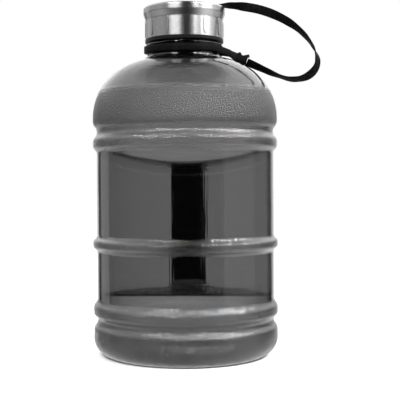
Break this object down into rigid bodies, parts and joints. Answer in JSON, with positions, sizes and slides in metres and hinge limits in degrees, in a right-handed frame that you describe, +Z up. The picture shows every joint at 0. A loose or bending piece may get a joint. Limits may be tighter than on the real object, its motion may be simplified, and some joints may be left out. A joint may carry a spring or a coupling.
{
  "type": "large water jug",
  "caption": "Clear grey half-gallon water jug with a rear handle bar, a steel screw cap on a swivel and a flat strap tied round the neck.",
  "frame": {"origin": "middle of the ring that the jug stands on", "axes": "+Z up along the body's axis, front towards -Y, handle bar at +Y, strap loop towards +X"},
  "size_m": [0.1619, 0.1314, 0.2496],
  "materials": {
    "shell": "clear grey gloss",
    "steel": "brushed",
    "insert": "satin black",
    "gasket": "matte",
    "swivel": "satin black",
    "rivet": "plain",
    "strap": "flat black strap"
  },
  "bodies": {
    "bottle": {"bottle_shell": "shell", "strap_neck_ring": "strap", "strap_knot": "strap"},
    "strap_end": {"strap_swivel": "swivel", "strap_loop": "strap"},
    "cap": {"cap_steel_shell": "steel", "cap_insert": "insert", "cap_gasket": "gasket", "swivel_rivet": "rivet", "rivet_washer": "rivet"}
  },
  "joints": [
    {"name": "cap_turn", "type": "hinge", "parent": "strap_end", "child": "cap", "pos_m": [0, 0, 0.2304], "axis": [0, 0, 1], "range_deg": [0, 720]},
    {"name": "cap_rise", "type": "slide", "parent": "bottle", "child": "strap_end", "axis": [0, 0, 1], "range_m": [0, 0.0181]}
  ],
  "couplings": [
    {"joint": "cap_rise", "follows": "cap_turn", "m_per_rad": 0.0014324}
  ]
}
